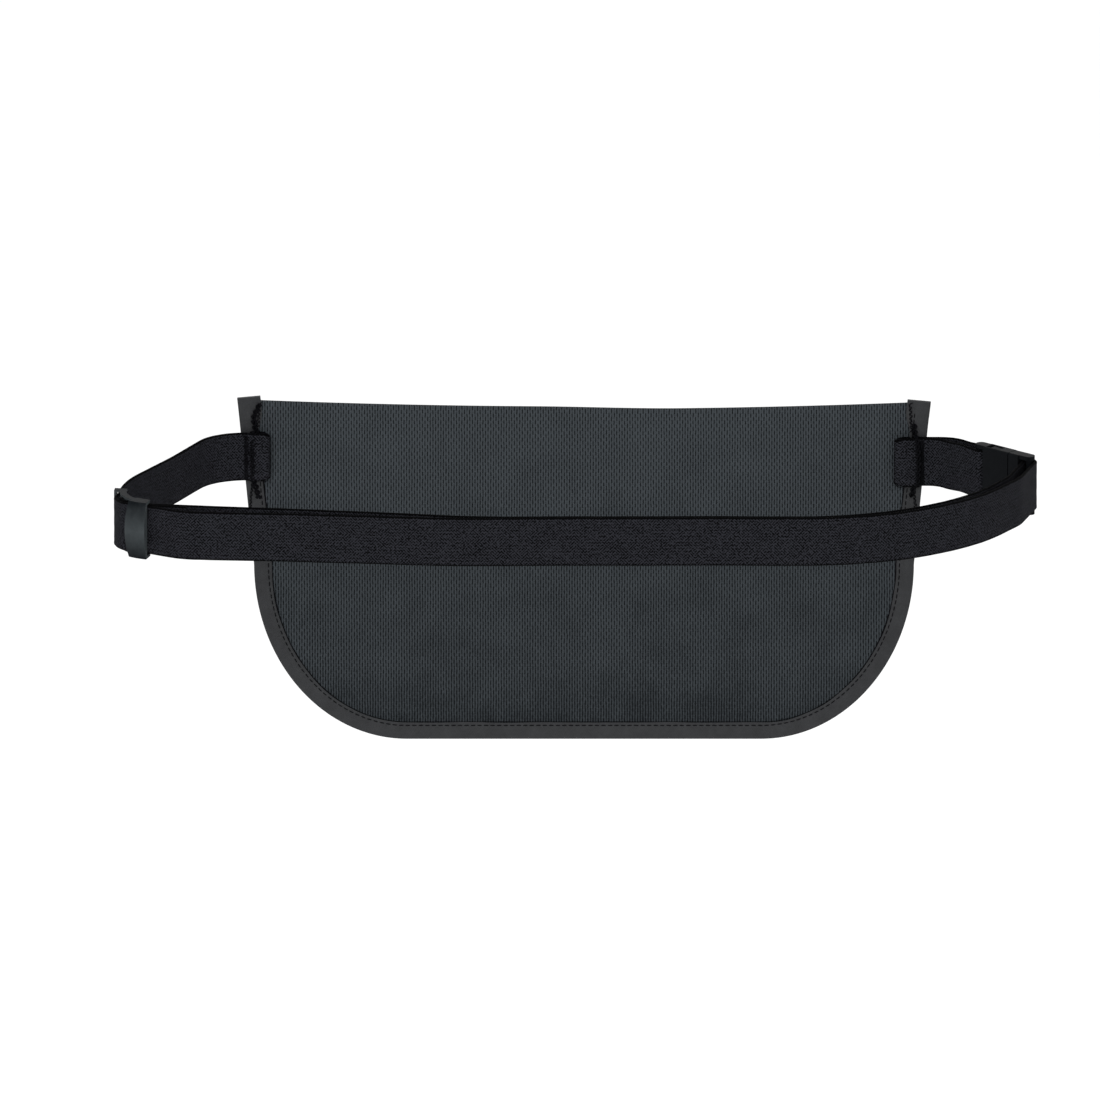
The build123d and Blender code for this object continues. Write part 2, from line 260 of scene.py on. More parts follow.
s.link(s.noise(weave_in.outputs["Coordinate"], 1100.0, 2.0, 0.7), weave_out.inputs["Fleck"])
print("weave group:", len(weave.nodes), "nodes")

# %% [markdown]
# ### Moulded and painted surfaces
# Moulded plastic has a fine spark-eroded grain and a few handling marks. The group gives a height
# for the grain and a slow mottle for the gloss.

# %% The grain group
grain, grain_in, grain_out = new_group(
    "Moulded grain",
    [("Coordinate", "NodeSocketVector", None), ("Grain scale", "NodeSocketFloat", 4500.0)],
    ["Height", "Mottle"])
s = Sums(grain)
fine_grain = s.noise(grain_in.outputs["Coordinate"], grain_in.outputs["Grain scale"], 2.0)
s.link(fine_grain, grain_out.inputs["Height"])
s.link(s.noise(grain_in.outputs["Coordinate"], 320.0, 5.0, 0.7), grain_out.inputs["Mottle"])
print("grain group:", len(grain.nodes), "nodes")

# %% [markdown]
# ## Finishes
# Every finish starts from a Principled shader. Cloth is rough, the binding is
# smoother, the elastic is almost black, and the plastics are satin. The colours are two stops of a
# mix: the dark of the gaps and the light of the threads.

# %% Finish tools


def finish(name, dark, light, rough, sheen=0.0, specular=0.5):
    """A material with its Principled shader, a mix of two colours, and the tools to wire them."""
    material = bpy.data.materials.new(name)
    material.use_nodes = True
    tools = Sums(material.node_tree)
    shader = material.node_tree.nodes["Principled BSDF"]
    shader.inputs["Roughness"].default_value = rough
    shader.inputs["Sheen Weight"].default_value = sheen
    shader.inputs["Sheen Roughness"].default_value = 0.5
    shader.inputs["Specular IOR Level"].default_value = specular
    mix = tools.node("ShaderNodeMix", data_type="RGBA")
    mix.inputs["A"].default_value = (*dark, 1)
    mix.inputs["B"].default_value = (*light, 1)
    tools.link(mix.outputs["Result"], shader.inputs["Base Color"])
    return material, tools, shader, mix.inputs["Factor"]


def raise_surface(tools, shader, height, distance):
    """Feeds a height to the shader's normal."""
    bump = tools.node("ShaderNodeBump")
    bump.inputs["Distance"].default_value = distance
    bump.inputs["Strength"].default_value = 1.0
    tools.link(height, bump.inputs["Height"])
    tools.link(bump.outputs["Normal"], shader.inputs["Normal"])


def woven(name, dark, light, rough, pitch, row, slant, depth, sheen=0.02, on_uv=True, contrast=0.6, rim=0.0,
          specular=0.12, fleck=0.4, cloudy=1.2):
    """A woven finish, on the piece's own UV map or on its place in the object."""
    material, tools, shader, factor = finish(name, dark, light, rough, sheen, specular)
    source = tools.node("ShaderNodeTexCoord")
    coordinate = source.outputs["UV" if on_uv else "Object"]
    if not on_uv:
        turn = tools.node("ShaderNodeMapping")
        turn.inputs["Rotation"].default_value = (-pi / 2, 0, 0)
        tools.link(coordinate, turn.inputs["Vector"])
        coordinate = turn.outputs[0]
    pattern = tools.node("ShaderNodeGroup", node_tree=weave)
    tools.link(coordinate, pattern.inputs["Coordinate"])
    pattern.inputs["Float pitch"].default_value = pitch
    pattern.inputs["Row width"].default_value = row
    pattern.inputs["Slant"].default_value = slant
    mottle = tools.about_zero(pattern.outputs["Mottle"], cloudy)
    flecks = tools.about_zero(pattern.outputs["Fleck"], fleck)
    shade = tools.plus(tools.times(pattern.outputs["Height"], contrast), mottle)
    shade = tools.plus(shade, flecks)
    # Painted shade: the rim mask darkens both edges, partly the selvedge's colour and mostly the shade at the
    # edges.
    shade = tools.minus(shade, tools.times(pattern.outputs["Edge shade and selvedge"], rim))
    tools.link(tools.plus(shade, 0.35 * (1 - contrast)), factor)
    raise_surface(tools, shader, pattern.outputs["Height"], depth)
    return material


# %% Cloth finishes
back_knit, tools, shader, factor = finish("back knit", (0.003, 0.004, 0.005), (0.0345, 0.0402, 0.0450), 0.9,
                                          specular=0.10)
place = tools.node("ShaderNodeTexCoord")
pattern = tools.node("ShaderNodeGroup", node_tree=knit)
tools.link(place.outputs["Object"], pattern.inputs["Coordinate"])
shade = tools.plus(tools.times(pattern.outputs["Height"], 0.95), 0.32)
shade = tools.plus(shade, tools.about_zero(pattern.outputs["Mottle"], 0.9))
# Painted shade: the knit is made lighter towards the top and darker towards the bottom, where less light
# falls, and darker still in its lowest part above the bottom seam.
upright = tools.node("ShaderNodeSeparateXYZ")
tools.link(place.outputs["Object"], upright.inputs[0])
shade = tools.plus(shade, tools.times(tools.plus(upright.outputs["Z"], 0.055), 2.2))
painted_bottom_shade = tools.calc("MINIMUM", tools.plus(upright.outputs["Z"], 0.085), 0.0)
shade = tools.plus(shade, tools.times(painted_bottom_shade, 9.0))
tools.link(shade, factor)
raise_surface(tools, shader, pattern.outputs["Height"], 0.00030)

FINISHES = {
    "back_knit": back_knit,
    "front_cloth": woven("front cloth", (0.006, 0.007, 0.009), (0.036, 0.041, 0.046), 0.8,
                         0.0009, 0.0009, 0.5, 0.00008, on_uv=False, fleck=1.2, cloudy=0.45),
    "lining": woven("lining", (0.010, 0.010, 0.011), (0.028, 0.029, 0.031), 0.7, 0.0006, 0.0006, 0.5, 0.00005,
                    on_uv=False),
    "binding_tape": woven("binding tape", (0.012, 0.0125, 0.0135), (0.030, 0.031, 0.033), 0.55,
                          0.0007, 0.0007, 0.5, 0.00005, contrast=0.35),
    # The elastic's rim darkening is painted edge shade, with a little of the selvedge's own colour.
    "elastic": woven("elastic", (0.0002, 0.0002, 0.0004), (0.0172, 0.0177, 0.0218), 0.9,
                     0.00125, 0.00125, 1.0, 0.00032,
                     sheen=0.0, contrast=1.5, rim=1.6, specular=0.04, fleck=4.4),
    "thread": woven("thread", (0.0002, 0.0002, 0.0003), (0.0045, 0.0045, 0.0060), 0.7, 0.0006, 0.0006, 1.0,
                    0.00005, sheen=0.0, on_uv=False, specular=0.03),
    "zip_tape": woven("zip tape", (0.002, 0.002, 0.003), (0.020, 0.020, 0.022), 0.8,
                      0.0009, 0.0009, 1.0, 0.00012, on_uv=False),
}
print("cloth finishes:", ", ".join(FINISHES))

# %% Plastic and metal finishes
GRAIN_DEPTH = 0.00001


def moulded(name, dark, light, rough, metallic=0.0, grain_scale=4500.0, specular=0.5, painted_top_shade=0.0):
    """A moulded or painted finish: grain in the normal, gloss that varies slowly, and painted shade on the
    faces that look up or down.
    """
    material, tools, shader, factor = finish(name, dark, light, rough, specular=specular)
    shader.inputs["Metallic"].default_value = metallic
    place = tools.node("ShaderNodeTexCoord")
    pattern = tools.node("ShaderNodeGroup", node_tree=grain)
    tools.link(place.outputs["Object"], pattern.inputs["Coordinate"])
    pattern.inputs["Grain scale"].default_value = grain_scale
    facing = tools.node("ShaderNodeSeparateXYZ")
    tools.link(place.outputs["Normal"], facing.inputs[0])
    # Painted shade: faces that look up or down are made darker than the front, as if they caught less light.
    rim = tools.times(tools.calc("ABSOLUTE", facing.outputs["Z"]), painted_top_shade)
    slow = tools.plus(tools.about_zero(pattern.outputs["Mottle"], 0.3), 0.5)
    tools.link(tools.minus(slow, rim), factor)
    gloss = tools.about_zero(pattern.outputs["Mottle"], 0.25)
    tools.link(tools.plus(gloss, rough), shader.inputs["Roughness"])
    raise_surface(tools, shader, pattern.outputs["Height"], GRAIN_DEPTH)
    return material


FINISHES["buckle_plastic"] = moulded("buckle plastic", (0.0003, 0.0004, 0.0005), (0.0085, 0.0094, 0.0108),
                                     0.14, specular=0.012)
# The slider's top and bottom faces get painted shade.
FINISHES["slider_plastic"] = moulded("slider plastic", (0.004, 0.005, 0.006), (0.062, 0.071, 0.075), 0.2,
                                     specular=0.012, painted_top_shade=1.2)
FINISHES["zip_coil"] = moulded("zip coil", (0.006, 0.006, 0.007), (0.014, 0.014, 0.015), 0.35)
FINISHES["zip_metal"] = moulded("zip metal", (0.012, 0.012, 0.013), (0.024, 0.024, 0.026), 0.3, 0.4, 3000.0)
print("finishes:", len(FINISHES))

# %% [markdown]
# ## Making pieces
# Each piece is a mesh whose object stays at the origin. `add_piece` makes it, gives it its finish,
# and lets it ride on its body of the model.

# %% Piece tools


def add_piece(name, verts, faces, slot_name, body, nodes=(), uvs=None):
    """A mesh piece from vertices in metres. uvs holds one pair for each vertex."""
    mesh = bpy.data.meshes.new(name)
    mesh.from_pydata([tuple(v) for v in verts], [], faces)
    mesh.polygons.foreach_set("use_smooth", [True] * len(mesh.polygons))
    if uvs:
        layer = mesh.uv_layers.new(name="UVMap")
        for loop in mesh.loops:
            layer.data[loop.index].uv = uvs[loop.vertex_index]
    piece = bpy.data.objects.new(name, mesh)
    bpy.context.collection.objects.link(piece)
    tidy_normals(mesh)
    mesh.set_sharp_from_angle(angle=radians(62))
    return settle(piece, slot_name, body, nodes)


def tidy_normals(mesh):
    """Turns every face of a closed mesh outwards."""
    work = bmesh.new()
    work.from_mesh(mesh)
    bmesh.ops.recalc_face_normals(work, faces=work.faces)
    work.to_mesh(mesh)
    work.free()


def settle(piece, slot_name, body, nodes=()):
    """Gives a piece its finish and slot, its body, and the CAD nodes that it stands for."""
    piece.data.materials.clear()
    piece.data.materials.append(FINISHES[slot_name])
    if body:
        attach(piece, body)
    if nodes:
        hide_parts(*nodes)
    return piece


def ring_grid(rings):
    """The vertices of rings of equal size, and faces from each ring to the next, with both ends filled."""
    size = len(rings[0])
    faces = []
    for i in range(len(rings) - 1):
        for j in range(size):
            k = (j + 1) % size
            faces.append((i * size + j, i * size + k, (i + 1) * size + k, (i + 1) * size + j))
    last = (len(rings) - 1) * size
    faces.append(tuple(range(size - 1, -1, -1)))
    faces.append(tuple(last + j for j in range(size)))
    return [v for ring in rings for v in ring], faces


def cloth_faces(rows, columns):
    """Faces for two grids of the same size, front and back, and for the rim between them."""
    size, count = columns + 1, (rows + 1) * (columns + 1)
    faces = []
    for side in (0, 1):
        for i in range(rows):
            for j in range(columns):
                a = side * count + i * size + j
                faces.append((a, a + 1, a + size + 1, a + size))
    rim = list(range(size)) + [i * size + columns for i in range(1, rows + 1)]
    rim += [rows * size + j for j in range(columns - 1, -1, -1)] + [i * size for i in range(rows - 1, 0, -1)]
    for a, b in zip(rim, rim[1:] + rim[:1]):
        faces.append((a, b, b + count, a + count))
    return faces


def ease(value):
    """Smooth step from 0 to 1."""
    value = min(max(value, 0.0), 1.0)
    return value * value * (3 - 2 * value)


# %% [markdown]
# ## The pouch's outline
# The pouch is a trapezoid with two quarter ellipses at its bottom corners. The cloth and the
# binding share this outline, so it is written once, as the half width at a height.

# %% Outline
HALF_TOP, HALF_LOW, CORNER_Z = 138.6, 132.0, -45.0
CORNER_REACH, CORNER_DROP = 61.0, 73.0
TAB_TOP, FOLD_TOP, FOLD_SAG = 24.9, 23.6, 3.0
CLOTH_INSET = 0.7
FOLD_ROUND = 1.7


def half_width(z, inset=0.0):
    """Half the pouch's width at a height, drawn in by an inset, in millimetres."""
    if z >= CORNER_Z:
        return HALF_LOW + (HALF_TOP - HALF_LOW) * (z - CORNER_Z) / (TAB_TOP - CORNER_Z) - inset
    share = min((CORNER_Z - z) / (CORNER_DROP - inset), 1.0)
    return HALF_LOW - CORNER_REACH + (CORNER_REACH - inset) * sqrt(1 - share * share)


def cloth_area(low_z, high_z):
    """The area of the cloth between two heights, in square metres."""
    steps = 200
    tall = (high_z - low_z) / steps
    total = sum(2 * half_width(low_z + (i + 0.5) * tall, CLOTH_INSET) * tall for i in range(steps))
    return total * MM * MM


BOTTOM_Z = CORNER_Z - CORNER_DROP + CLOTH_INSET
print("pouch", 2 * HALF_TOP, "mm wide, back", round(cloth_area(BOTTOM_Z, FOLD_TOP), 4), "square metres")

# %% [markdown]
# ## The knit back
# The back is one sheet: it rises from the bottom seam, turns over at the top edge and comes down
# inside the front to the main zip. A grid of rows and columns follows that path. It swells a
# little away from the seams, and it puckers where the binding's stitches pull it.

# %% The back panel
BACK_Y, FLAP_Y, FLAP_LOW = 57.7, 61.0, 13.5
COLUMNS = 150


def swell(x, z):
    """How far the back stands towards the wearer at a place, in millimetres."""
    edge = min(half_width(z) - abs(x), z - BOTTOM_Z + 3, 40)
    soft = 0.42 * noise.noise(Vector((x / 38, z / 26, 3.1)))
    soft += 0.25 * noise.noise(Vector((x / 13, z / 11, 7.7)))
    pucker = 0.16 * noise.noise(Vector((x / 4.5, z / 4.5, 1.3))) * ease((26 - edge) / 16)
    return ease((edge - 9) / 16) * (0.25 + soft * 0.6) + ease((edge - 7) / 3) * pucker


def back_path():
    """The back's middle surface from the bottom to the flap's lower edge: (y, z, thickness, sag share)."""
    rows = []
    rise = 90
    for i in range(rise + 1):
        share = i / rise
        crowded = share + 0.35 * share * (share - 1) * (0.5 - share)
        z = BOTTOM_Z + (FOLD_TOP - FOLD_ROUND - BOTTOM_Z) * crowded
        if share < 0.12:
            z = BOTTOM_Z + (z - BOTTOM_Z) * (share / 0.12) ** 0.6
        rows.append((BACK_Y, z, 1.4, ease((z + 20) / 44)))
    turn_y = (BACK_Y + FLAP_Y) / 2
    reach = (FLAP_Y - BACK_Y) / 2
    for i in range(1, 8):
        angle = pi * (1 - i / 8)
        thick = 1.4 - 0.6 * i / 8
        z = FOLD_TOP - FOLD_ROUND + (FOLD_ROUND - thick / 2) * sin(angle)
        rows.append((turn_y + reach * cos(angle), z, thick, 1.0))
    for i in range(8):
        z = FOLD_TOP - FOLD_ROUND - (FOLD_TOP - FOLD_ROUND - FLAP_LOW) * i / 7
        rows.append((FLAP_Y, z, 0.8, 1 - i / 7))
    return rows


def make_back():
    """The back panel's mesh, with its body side swollen and its flap flat."""
    rows = back_path()
    verts, uvs = [], []
    for side in (0, 1):
        length = 0.0
        for i, (y, z, thick, sag) in enumerate(rows):
            before, after = rows[max(i - 1, 0)], rows[min(i + 1, len(rows) - 1)]
            along = Vector((after[0] - before[0], after[1] - before[1])).normalized()
            out = Vector((-along[1], along[0])) * (thick / 2) * (1 if side == 0 else -1)
            if i:
                length += hypot(y - rows[i - 1][0], z - rows[i - 1][1])
            wide = half_width(z, CLOTH_INSET)
            for j in range(COLUMNS + 1):
                x = wide * sin(pi * (j / COLUMNS - 0.5))
                drop = FOLD_SAG * sag * (1 - (x / wide) ** 2)
                drop += sag * (0.3 + 1.0 * ease((x + 20) / 60) + 2.2 * ease((abs(x) - wide + 8) / 6))
                push = swell(x, z) if side == 0 and y == BACK_Y else 0
                verts.append(Vector((x, y + out[0] - push, z + out[1] - drop)) * MM)
                uvs.append((x * MM, length * MM))
    return verts, cloth_faces(len(rows) - 1, COLUMNS), uvs


verts, faces, uvs = make_back()
back = add_piece("back_cloth", verts, faces, "back_knit", "pouch", ["back_panel"], uvs)
print("back:", len(faces), "faces")

# %% [markdown]
# ## Linings and front panels
# These are flat sheets cut by the same outline. Each is a grid with a front, a back and a rim.
# The lower front panel bags out a little, because the pocket behind it is loose.

# %% Flat cloth


def flat_cloth(name, low_z, high_z, low_y, high_y, slot_name, node, bag=0.0):
    """A sheet between two heights and two levels, bagging outwards in its middle."""
    low_z = max(low_z, BOTTOM_Z)
    rows, columns = max(int((high_z - low_z) / 2.2), 6), 110
    verts, uvs = [], []
    for y in (low_y, high_y):
        for i in range(rows + 1):
            share = i / rows
            z = low_z + (high_z - low_z) * (share if low_z > CORNER_Z else share ** 1.35)
            wide = half_width(z, CLOTH_INSET)
            for j in range(columns + 1):
                x = wide * sin(pi * (j / columns - 0.5))
                edge = min(wide - abs(x), z - low_z, high_z - z)
                out = bag * ease(edge / 25) * (0.7 + 0.5 * noise.noise(Vector((x / 40, z / 30, 5))))
                out += 0.12 * ease((edge - 6) / 3) * noise.noise(Vector((x / 7, z / 7, 2)))
                verts.append(Vector((x, y + max(out, 0), z)) * MM)
                uvs.append((x * MM, z * MM))
    piece = add_piece(name, verts, cloth_faces(rows, columns), slot_name, "pouch", [node], uvs)
    wide = 2 * half_width(high_z, CLOTH_INSET) * MM
    return piece


flat_cloth("divider_cloth", -150, 18.5, 58.45, 58.75, "lining", "divider_panel")
flat_cloth("pocket_cloth", -150, 2.0, 58.85, 59.15, "lining", "pocket_lining")
flat_cloth("front_cloth_middle", -19.5, 4.5, 60.62, 61.38, "front_cloth", "front_panel_middle", 0.5)
flat_cloth("front_cloth_lower", -150, -28.5, 60.62, 61.38, "front_cloth", "front_panel_lower", 1.6)
print("linings and front panels, from height", BOTTOM_Z, "mm")

# %% [markdown]
# ## The binding
# A satin tape is folded over the raw edges and sewn through. Its section is a narrow U. The section
# is carried along the outline, square to it, and it ripples where the tape has to go round the
# corners. Its cut ends stand up above the top edge.

# %% Binding
TAPE_WIDE, STITCH_ROW, WALK_STEP = 7.0, 5.8, 1.6


def edge_walk():
    """Places along the outline from the left tab round to the right one: (x, z, inward x, inward z)."""
    right = []
    side = int((TAB_TOP - CORNER_Z) / WALK_STEP)
    lean = Vector((-(TAB_TOP - CORNER_Z), HALF_TOP - HALF_LOW)).normalized()
    for i in range(side):
        z = TAB_TOP - (TAB_TOP - CORNER_Z) * i / side
        right.append((half_width(z), z, lean[0], lean[1]))
    bends = int(110 / WALK_STEP)
    for i in range(bends + 1):
        angle = (pi / 2) * i / bends
        x = HALF_LOW - CORNER_REACH + CORNER_REACH * cos(angle)
        z = CORNER_Z - CORNER_DROP * sin(angle)
        inward = Vector((-cos(angle) / CORNER_REACH, sin(angle) / CORNER_DROP)).normalized()
        right.append((x, z, inward[0], inward[1]))
    flat = int((HALF_LOW - CORNER_REACH) / WALK_STEP)
    for i in range(1, flat + 1):
        right.append(((HALF_LOW - CORNER_REACH) * (1 - i / flat), CORNER_Z - CORNER_DROP, 0.0, 1.0))
    left = [(-x, z, -nx, nz) for x, z, nx, nz in right[:-1]]
    return left + right[::-1]


def binding_section(ripple, frill, shut):
    """The U section as (inward, y) pairs: the outer skin round to the front, then the inner skin back.
    At a tab's cut end the inner skin is drawn shut."""
    wide = TAPE_WIDE + frill
    outer = [(wide, 56.62), (wide - 0.25, 56.42)]
    outer += [(n, 56.40 + ripple * sin(pi * n / wide)) for n in (6.4, 6.1, 5.8, 5.4, 4.6, 3.6, 2.6, 1.5, 0.8)]
    outer += [(0.3, 56.50), (0.08, 56.75), (0.0, 57.2), (0.0, 58.4), (0.0, 59.8), (0.0, 61.2), (0.08, 61.65),
              (0.3, 61.9), (0.8, 61.98)]
    outer += [(n, 62.0) for n in (1.5, 2.6, 3.6, 4.6, 5.4, 5.8, 6.1, 6.4)]
    outer += [(wide - 0.25, 61.95), (wide, 61.75)]
    inner = [(wide - 0.2, 61.45), (4.0, 61.43), (0.75, 61.42), (0.58, 61.2), (0.58, 57.2), (0.75, 56.98),
             (4.0, 56.97), (wide - 0.2, 56.95)]
    inner = [(n, y + (59.2 - y) * shut) for n, y in inner]
    return outer + inner


def stitch_dent(n):
    """How much the stitch row pulls the tape in, at a distance from the outer edge."""
    return max(0.0, 1 - abs(n - STITCH_ROW) / 0.6)


walk = edge_walk()
rings, uvs, length = [], [], 0.0
for i, (x, z, nx, nz) in enumerate(walk):
    if i:
        length += hypot(x - walk[i - 1][0], z - walk[i - 1][1])
    bend = ease((CORNER_Z + 20 - z) / 30)
    pinch = 1 - 0.7 * ease((z - 21.0) / 3.0)
    z -= (2.0 if x > 0 else 0.4) * ease((z - 12) / 12)
    ripple = 0.10 * noise.noise(Vector((length / 7, 0, 4))) * (0.4 + bend)
    frill = 0.35 * noise.noise(Vector((length / 16, 2, 0))) + 2.3 * ease((z - 9) / 9)
    ring = []
    around = 0.0
    section = binding_section(ripple, frill, 0.97 if i in (0, len(walk) - 1) else 0.0)
    for k, (n, y) in enumerate(section):
        if k:
            around += hypot(n - section[k - 1][0], y - section[k - 1][1])
        dent = 0.22 * stitch_dent(n) * (0.55 + 0.45 * cos(2 * pi * length / 2.6))
        y_now = y + dent if y < 56.9 else (y - dent if y > 61.5 else y)
        y_now = 56.4 + (y_now - 56.4) * pinch
        ring.append(Vector((x + nx * n, y_now, z + nz * n)) * MM)
        uvs.append((length * MM, around * MM))
    rings.append(ring)
add_piece("edge_binding_tape", *ring_grid(rings), "binding_tape", "pouch", ["edge_binding"], uvs)
print("binding:", round(length), "mm of tape")

# %% [markdown]
# ## Elastic
# Elastic is flat webbing, so it is made directly: a section 20 mm wide and 1.3 mm thick, with a
# slightly thicker selvedge at each edge, carried on its edge along a route in plan. A route is a
# few points with a bend at each. Where the belt stretches or its end comes away with the buckle,
# the elastic is made in place and rides on no body.

# %% Routes
BACK_FACE = 57.0
ARCH_X, ARCH_DEPTH = -168.1, 83.7
FRONT_DEPTH, PLY, MIDDLE_X = 115.9, 1.55, 70.0
BUCKLE_X, BUCKLE_DEPTH, BUCKLE_TURN = 171.1, 32.3, radians(41.5)
FEMALE_BAR, MALE_BAR = -16.8, 8.6
ROUTE_STEP = 1.5


def plan(x, depth):
    """A route point: x, and the distance from the back panel to the wearer's side."""
    return Vector((x, BACK_FACE - depth))


def around_arch(radius, angle):
    """A route point on the strap slider's arch."""
    return plan(ARCH_X + radius * cos(radians(angle)), ARCH_DEPTH + radius * sin(radians(angle)))


def loop_corners(distance, heading, reach, back=0.0):
    """Two corners round a bar of the buckle, for a strap that arrives on a heading."""
    bar = (BUCKLE_X + distance * cos(BUCKLE_TURN), BUCKLE_DEPTH + distance * sin(BUCKLE_TURN))
    ahead = (cos(radians(heading)), sin(radians(heading)))
    points = []
    for side in (-1, 1):
        x = bar[0] + (reach - back) * ahead[0] + side * reach * ahead[1]
        points.append(plan(x, bar[1] + (reach - back) * ahead[1] - side * reach * ahead[0]))
    return points


def bent_route(points, radii):
    """Samples a route: straight runs, and an arc of the given radius at each inner point."""
    path = [points[0]]

    def run_to(target):
        start = path[-1]
        count = max(int((target - start).length / ROUTE_STEP), 1)
        path.extend(start.lerp(target, (i + 1) / count) for i in range(count))

    for before, corner, after, radius in zip(points, points[1:], points[2:], radii):
        to_corner = (corner - before).normalized()
        onward = (after - corner).normalized()
        turn = to_corner.angle_signed(onward)
        reach = radius * tan(abs(turn) / 2)
        first, last = corner - to_corner * reach, corner + onward * reach
        if (first - path[-1]).length > 0.02:
            run_to(first)
        side = -1 if turn > 0 else 1
        centre = first + Vector((-to_corner[1], to_corner[0])) * radius * side
        count = max(int(abs(turn) * radius / ROUTE_STEP), int(abs(turn) / 0.16), 1)
        arm = first - centre
        for i in range(1, count + 1):
            angle = side * abs(turn) * i / count
            path.append(centre + Vector((arm[0] * cos(angle) - arm[1] * sin(angle),
                                         arm[0] * sin(angle) + arm[1] * cos(angle))))
        path[-1] = last
    run_to(points[-1])
    return path


# %% The elastic's section
SECTION = [(-9.6, 0.60), (-9.0, 0.68), (-8.3, 0.60)]
SECTION += [(z, 0.60 + 0.03 * cos(z)) for z in (-7, -5.5, -4, -2.5, -1, 1, 2.5, 4, 5.5, 7)]
SECTION += [(8.3, 0.60), (9.0, 0.68), (9.6, 0.60), (9.92, 0.38), (10.0, 0.0)]
SECTION = SECTION + [(z, -n) for z, n in SECTION[::-1][1:]] + [(-9.92, -0.38), (-10.0, 0.0), (-9.92, 0.38)]


def lift_at(point):
    """How far the elastic is sewn on above belt height, near the pouch's two sides, in millimetres."""
    near_left = ease((point[1] - 20) / 30) * ease((-110 - point[0]) / 10)
    near_right = ease((point[1] - 40) / 12) * ease((point[0] - 110) / 10)
    return 1.2 * near_left - 1.3 * near_right


def elastic(name, path, nodes, zero_x=None, far_end=None):
    """Elastic on its edge along a sampled path. When far_end is given the piece rides on no body; the body
    and ends it holds are not used.
    """
    lengths = [0.0]
    for a, b in zip(path, path[1:]):
        lengths.append(lengths[-1] + (b - a).length)
    origin = 0.0
    if zero_x is not None:
        origin = lengths[min(range(len(path)), key=lambda i: abs(path[i][0] - zero_x))]
    rings, uvs = [], []
    for i, point in enumerate(path):
        along = (path[min(i + 1, len(path) - 1)] - path[max(i - 1, 0)]).normalized()
        side = Vector((-along[1], along[0]))
        free = ease((point - Vector((ARCH_X, BACK_FACE - ARCH_DEPTH))).length / 30 - 0.9)
        free *= ease((point - Vector((BUCKLE_X, BACK_FACE - BUCKLE_DEPTH))).length / 25 - 1.2)
        wave = 0.30 * free * noise.noise(Vector((point[0] / 45, point[1] / 45, 1.5))) + lift_at(point)
        frill = noise.noise(Vector((point[0] / 3.1, point[1] / 3.1, 8.5)))
        ring = []
        tip = min(abs(point[0] + 126.2), abs(point[0] - 124.6)) if point[1] > 50 else 99
        for z, n in SECTION:
            z_now = z * (1 + 0.004 * frill - 0.10 * ease(1 - tip / 2.2)) + wave
            puff = 0.75 * ease(1 - abs(tip - 3.0) / 4.0) * (1 - (z / 10) ** 4) if point[1] < 54.6 else 0.0
            spot = point + side * n - Vector((0, puff))
            ring.append(Vector((spot[0], spot[1], z_now)) * MM)
            uvs.append(((lengths[i] - origin) * MM, z * MM))
        rings.append(ring)
    piece = add_piece(name, *ring_grid(rings), "elastic", None if far_end else "pouch", nodes, uvs)
    if far_end:
        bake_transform(piece)
    print(name, round(lengths[-1]), "mm")


# %% Left side and front
SEWN, OVER = 1.3, 2.75
rear = bent_route(
    [plan(-133.5, SEWN), plan(-126.2, SEWN), plan(-126.2, 4.1), plan(-132.0, 4.1), plan(-134.8, OVER),
     plan(-147.2, OVER), plan(-182.93, 66), around_arch(17, 192)], [1.35, 1.35, 3, 3, 21, 60])
elastic("elastic_rear_run", rear, ["strap_rear_run"],
        far_end=("strap_slider_end", (-0.147, 0.0542, 0), (-0.1835, 0.0, 0)))

slider_pass = [around_arch(17, 192), around_arch(17, 181), around_arch(18.7, 170), around_arch(18.9, 156),
               around_arch(18.7, 143), around_arch(17, 134.5), around_arch(17, 118), around_arch(17, 103)]
front = bent_route(
    slider_pass + [plan(-160, 107.31), plan(-60, FRONT_DEPTH), plan(MIDDLE_X, FRONT_DEPTH)],
    [3, 3, 8, 3, 3, 10, 6, 25, 300])
elastic("elastic_front_outer", front, ["strap_slider_pass", "strap_outer_run"], zero_x=MIDDLE_X,
        far_end=("strap_slider_end", (0.060, -0.059, 0), (-0.158, -0.0497, 0)))

sewn_end = [plan(-158.2, 100.5), around_arch(15.3, 107), around_arch(15.3, 121), around_arch(15.3, 138),
            around_arch(16.9, 147.5), around_arch(16.9, 163.6), around_arch(13.1, 163.6),
            around_arch(13.1, 147), around_arch(13.75, 136), around_arch(13.75, 121), around_arch(13.75, 107)]
inner = bent_route(
    sewn_end + [plan(-40, FRONT_DEPTH - PLY), plan(MIDDLE_X, FRONT_DEPTH - PLY)],
    [10, 10, 3, 3, 0.9, 0.9, 3, 3, 10, 10, 300])
elastic("elastic_front_inner", inner, ["strap_sewn_end", "strap_inner_run"], zero_x=MIDDLE_X,
        far_end=("strap_slider_end", (0.060, -0.059, 0), (-0.158, -0.0497, 0)))

# %% Right side and buckle ends
outer_bend, inner_bend = loop_corners(MALE_BAR, -73.97, 2.4, back=25.23)
male_outer, male_inner = loop_corners(MALE_BAR, -73.97, 2.4)
right = bent_route(
    [plan(MIDDLE_X, FRONT_DEPTH), plan(140.12, FRONT_DEPTH), outer_bend, male_outer, male_inner, inner_bend,
     plan(139.25, FRONT_DEPTH - PLY), plan(MIDDLE_X, FRONT_DEPTH - PLY)],
    [88.6, 28, 2.38, 2.38, 40, 87])
elastic("elastic_right_loop", right, ["strap_outer_right", "strap_buckle_turn", "strap_inner_right"],
        far_end=("buckle_male_end", (0.080, -0.058, 0), (0.168, 0.004, 0)))

